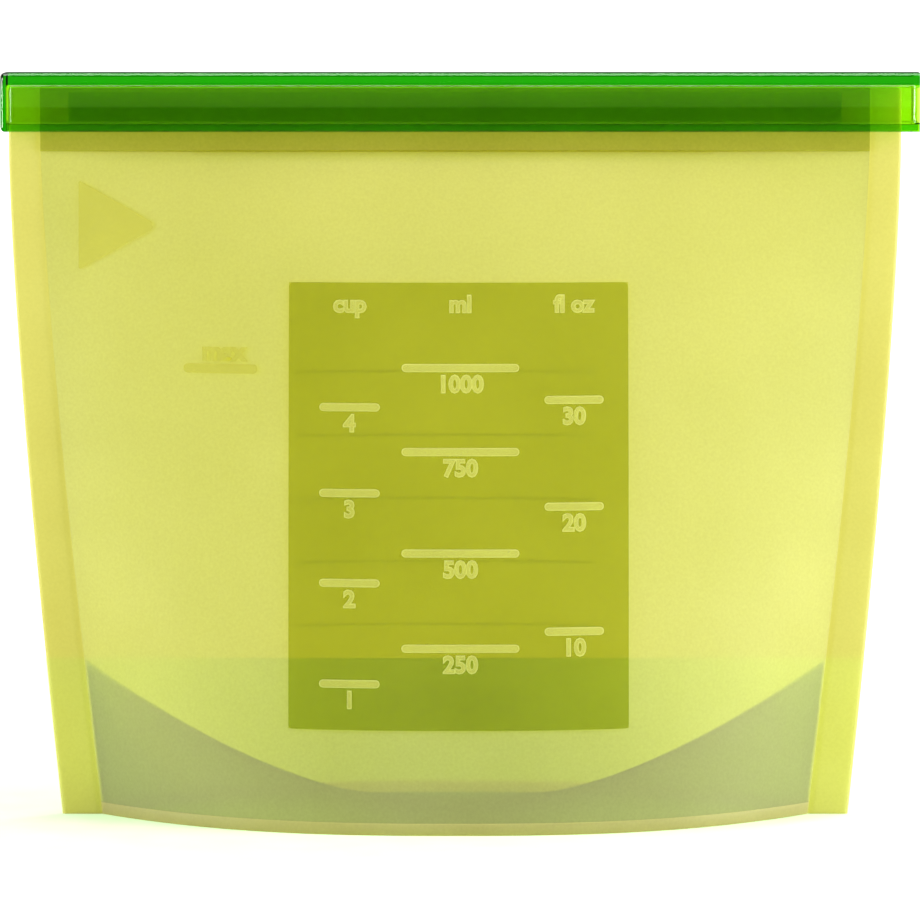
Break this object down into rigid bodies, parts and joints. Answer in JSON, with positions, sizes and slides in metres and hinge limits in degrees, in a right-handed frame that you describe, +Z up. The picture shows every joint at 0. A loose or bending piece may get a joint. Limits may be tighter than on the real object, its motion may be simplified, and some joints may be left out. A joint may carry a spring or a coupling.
{
  "type": "reusable silicone bag",
  "caption": "Stand-up translucent silicone food bag with an opened base gusset, a raised scale panel and a rigid bar that slides over the lips to close the mouth.",
  "frame": {"origin": "middle of the base, on the surface that the bag stands on, midway between the two side seams", "axes": "+Z up, +X along the mouth towards the open end of the bar, -Y out of the wall that carries the scale"},
  "size_m": [0.2305, 0.0794, 0.1878],
  "materials": {
    "silicone_wall": "satin",
    "silicone_seam": "satin",
    "silicone_lip": "satin",
    "bar_plastic": "gloss",
    "polished_relief": "gloss",
    "groove_floor": "satin"
  },
  "bodies": {
    "bag": {"front_wall": "silicone_wall", "back_wall": "silicone_wall", "base_gusset": "silicone_wall", "left_side_seam": "silicone_seam", "right_side_seam": "silicone_seam", "base_front_rim": "silicone_seam", "base_back_rim": "silicone_seam", "front_mouth_band": "silicone_lip", "back_mouth_band": "silicone_lip", "front_lip_bead": "silicone_lip", "back_lip_bead": "silicone_lip", "scale_panel": "polished_relief", "ml_marks": "groove_floor", "cup_marks": "groove_floor", "fluid_ounce_marks": "groove_floor", "write_lines": "polished_relief", "plain_rings": "polished_relief", "direction_arrow": "polished_relief", "max_mark": "polished_relief"},
    "bar": {"slide_bar": "bar_plastic", "bar_end_cap": "bar_plastic"}
  },
  "joints": [
    {"name": "bar_slide", "type": "slide", "parent": "bag", "child": "bar", "axis": [-1, 0, 0], "range_m": [0, 0.235]}
  ]
}
